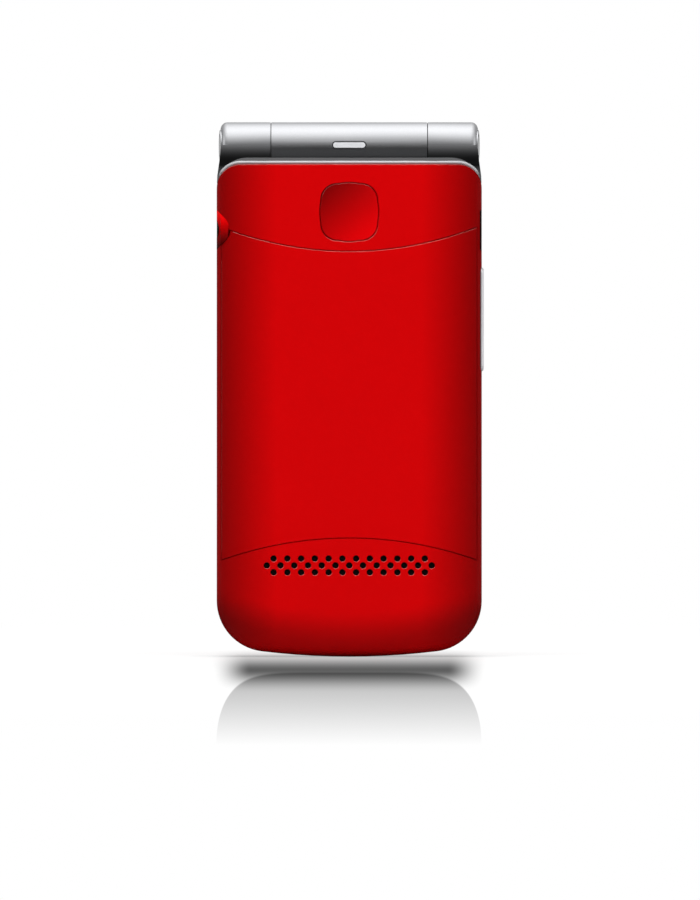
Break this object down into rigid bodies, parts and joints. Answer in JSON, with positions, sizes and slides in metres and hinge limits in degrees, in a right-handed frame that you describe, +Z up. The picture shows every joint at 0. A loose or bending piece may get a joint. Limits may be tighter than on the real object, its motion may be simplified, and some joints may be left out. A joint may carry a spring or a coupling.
{
  "type": "clamshell mobile phone",
  "caption": "Closed clamshell phone with red rounded shells, silver hinge barrel, square emergency key, speaker grille and removable battery cover; lid, keys and cover move.",
  "frame": {"origin": "centre of the bounding box in X and Y, at the lower edge of the standing phone", "axes": "+Z up the phone towards the hinge, +Y out of the lid, +X right seen from behind"},
  "size_m": [0.0524, 0.0196, 0.105],
  "materials": {
    "red_shell": "glossy red lacquered moulding",
    "red_key": "glossy red key",
    "silver_shell": "silver metallic lacquer",
    "silver_key": "silver plated key",
    "fascia_black": "black keypad fascia",
    "board_green": "solder-masked circuit board",
    "flex_amber": "amber polyimide film",
    "steel": "bare pressed steel",
    "dome_film": "clear film over metal domes",
    "chrome_trim": "polished chrome",
    "gold_contact": "gold plated spring contact",
    "black_plastic": "moulded black plastic",
    "rubber_grey": "grey silicone rubber",
    "mesh_black": "black acoustic mesh",
    "battery_wrap": "dark battery label",
    "window_glass": "tinted display window",
    "display_panel": "unlit display panel",
    "light_lens": "milky light pipe",
    "key_green": "green call key",
    "key_red": "red end key",
    "key_silver": "silver key",
    "key_dark": "dark grey key"
  },
  "bodies": {
    "base": {"base_rear_housing": "red_shell", "base_front_housing": "silver_shell", "keypad_fascia": "fascia_black", "main_board": "board_green", "rf_shields": "steel", "dome_sheet": "dome_film", "keypad_mat": "rubber_grey", "battery_contacts": "gold_contact", "sim_card_holder": "steel", "micro_usb_socket": "steel", "headset_jack": "black_plastic", "loudspeaker": "black_plastic", "speaker_mesh": "mesh_black", "microphone": "black_plastic", "vibration_motor": "steel", "antenna_carrier": "black_plastic", "side_key_board": "flex_amber", "sos_switch": "black_plastic", "base_screws": "steel", "hinge_shaft": "steel", "hinge_bush": "black_plastic", "hinge_caps": "chrome_trim", "hinge_flex_cable": "flex_amber"},
    "lid": {"lid_inner_housing": "silver_shell", "lid_outer_cover": "red_shell", "main_window": "window_glass", "main_display": "display_panel", "outer_window": "window_glass", "outer_display": "display_panel", "lid_board": "board_green", "earpiece": "black_plastic", "camera_module": "black_plastic", "camera_ring": "chrome_trim", "lid_bumpers": "rubber_grey", "lid_screws": "steel", "hinge_can": "steel", "hinge_spring": "steel", "indicator_lens": "light_lens"},
    "battery_cover": {"battery_cover": "red_shell"},
    "battery": {"battery": "battery_wrap"},
    "sos_key": {"sos_key": "red_key"},
    "volume_rocker": {"volume_rocker": "silver_key"},
    "key_1": {"key_1": "key_dark"},
    "key_2": {"key_2": "key_dark"},
    "key_3": {"key_3": "key_dark"},
    "key_4": {"key_4": "key_dark"},
    "key_5": {"key_5": "key_dark"},
    "key_6": {"key_6": "key_dark"},
    "key_7": {"key_7": "key_dark"},
    "key_8": {"key_8": "key_dark"},
    "key_9": {"key_9": "key_dark"},
    "key_star": {"key_star": "key_dark"},
    "key_0": {"key_0": "key_dark"},
    "key_hash": {"key_hash": "key_dark"},
    "key_soft_left": {"key_soft_left": "key_silver"},
    "key_soft_right": {"key_soft_right": "key_silver"},
    "key_call": {"key_call": "key_green"},
    "key_end": {"key_end": "key_red"},
    "key_select": {"key_select": "key_silver"},
    "key_nav_ring": {"key_nav_ring": "key_silver"}
  },
  "joints": [
    {"name": "lid_hinge", "type": "hinge", "parent": "base", "child": "lid", "pos_m": [0, 0.00145, 0.1004], "axis": [1, 0, 0], "range_deg": [0, 160]},
    {"name": "battery_cover_lift", "type": "slide", "parent": "base", "child": "battery_cover", "axis": [0, -1, 0], "range_m": [0, 0.024]},
    {"name": "battery_lift", "type": "slide", "parent": "base", "child": "battery", "axis": [0, -1, 0], "range_m": [0, 0.012]},
    {"name": "sos_press", "type": "slide", "parent": "base", "child": "sos_key", "axis": [0, 1, 0], "range_m": [0, 0.00035], "stiffness_N_per_m": 1200, "springref_m": -0.0003},
    {"name": "volume_rock", "type": "hinge", "parent": "base", "child": "volume_rocker", "pos_m": [0.0238, -0.00375, 0.06615], "axis": [0, 1, 0], "range_deg": [-1.2, 1.2], "stiffness_Nm_per_rad": 0.3},
    {"name": "press_1", "type": "slide", "parent": "base", "child": "key_1", "axis": [0, -1, 0], "range_m": [0, 0.0003], "stiffness_N_per_m": 1000, "springref_m": -0.0003},
    {"name": "press_2", "type": "slide", "parent": "base", "child": "key_2", "axis": [0, -1, 0], "range_m": [0, 0.0003], "stiffness_N_per_m": 1000, "springref_m": -0.0003},
    {"name": "press_3", "type": "slide", "parent": "base", "child": "key_3", "axis": [0, -1, 0], "range_m": [0, 0.0003], "stiffness_N_per_m": 1000, "springref_m": -0.0003},
    {"name": "press_4", "type": "slide", "parent": "base", "child": "key_4", "axis": [0, -1, 0], "range_m": [0, 0.0003], "stiffness_N_per_m": 1000, "springref_m": -0.0003},
    {"name": "press_5", "type": "slide", "parent": "base", "child": "key_5", "axis": [0, -1, 0], "range_m": [0, 0.0003], "stiffness_N_per_m": 1000, "springref_m": -0.0003},
    {"name": "press_6", "type": "slide", "parent": "base", "child": "key_6", "axis": [0, -1, 0], "range_m": [0, 0.0003], "stiffness_N_per_m": 1000, "springref_m": -0.0003},
    {"name": "press_7", "type": "slide", "parent": "base", "child": "key_7", "axis": [0, -1, 0], "range_m": [0, 0.0003], "stiffness_N_per_m": 1000, "springref_m": -0.0003},
    {"name": "press_8", "type": "slide", "parent": "base", "child": "key_8", "axis": [0, -1, 0], "range_m": [0, 0.0003], "stiffness_N_per_m": 1000, "springref_m": -0.0003},
    {"name": "press_9", "type": "slide", "parent": "base", "child": "key_9", "axis": [0, -1, 0], "range_m": [0, 0.0003], "stiffness_N_per_m": 1000, "springref_m": -0.0003},
    {"name": "press_star", "type": "slide", "parent": "base", "child": "key_star", "axis": [0, -1, 0], "range_m": [0, 0.0003], "stiffness_N_per_m": 1000, "springref_m": -0.0003},
    {"name": "press_0", "type": "slide", "parent": "base", "child": "key_0", "axis": [0, -1, 0], "range_m": [0, 0.0003], "stiffness_N_per_m": 1000, "springref_m": -0.0003},
    {"name": "press_hash", "type": "slide", "parent": "base", "child": "key_hash", "axis": [0, -1, 0], "range_m": [0, 0.0003], "stiffness_N_per_m": 1000, "springref_m": -0.0003},
    {"name": "press_soft_left", "type": "slide", "parent": "base", "child": "key_soft_left", "axis": [0, -1, 0], "range_m": [0, 0.0003], "stiffness_N_per_m": 1000, "springref_m": -0.0003},
    {"name": "press_soft_right", "type": "slide", "parent": "base", "child": "key_soft_right", "axis": [0, -1, 0], "range_m": [0, 0.0003], "stiffness_N_per_m": 1000, "springref_m": -0.0003},
    {"name": "press_call", "type": "slide", "parent": "base", "child": "key_call", "axis": [0, -1, 0], "range_m": [0, 0.0003], "stiffness_N_per_m": 1000, "springref_m": -0.0003},
    {"name": "press_end", "type": "slide", "parent": "base", "child": "key_end", "axis": [0, -1, 0], "range_m": [0, 0.0003], "stiffness_N_per_m": 1000, "springref_m": -0.0003},
    {"name": "press_select", "type": "slide", "parent": "base", "child": "key_select", "axis": [0, -1, 0], "range_m": [0, 0.0003], "stiffness_N_per_m": 1000, "springref_m": -0.0003},
    {"name": "press_nav_ring", "type": "slide", "parent": "base", "child": "key_nav_ring", "axis": [0, -1, 0], "range_m": [0, 0.0003], "stiffness_N_per_m": 1000, "springref_m": -0.0003}
  ],
  "couplings": [
    {"joint": "battery_lift", "follows": "battery_cover_lift", "ratio": 0.5}
  ]
}
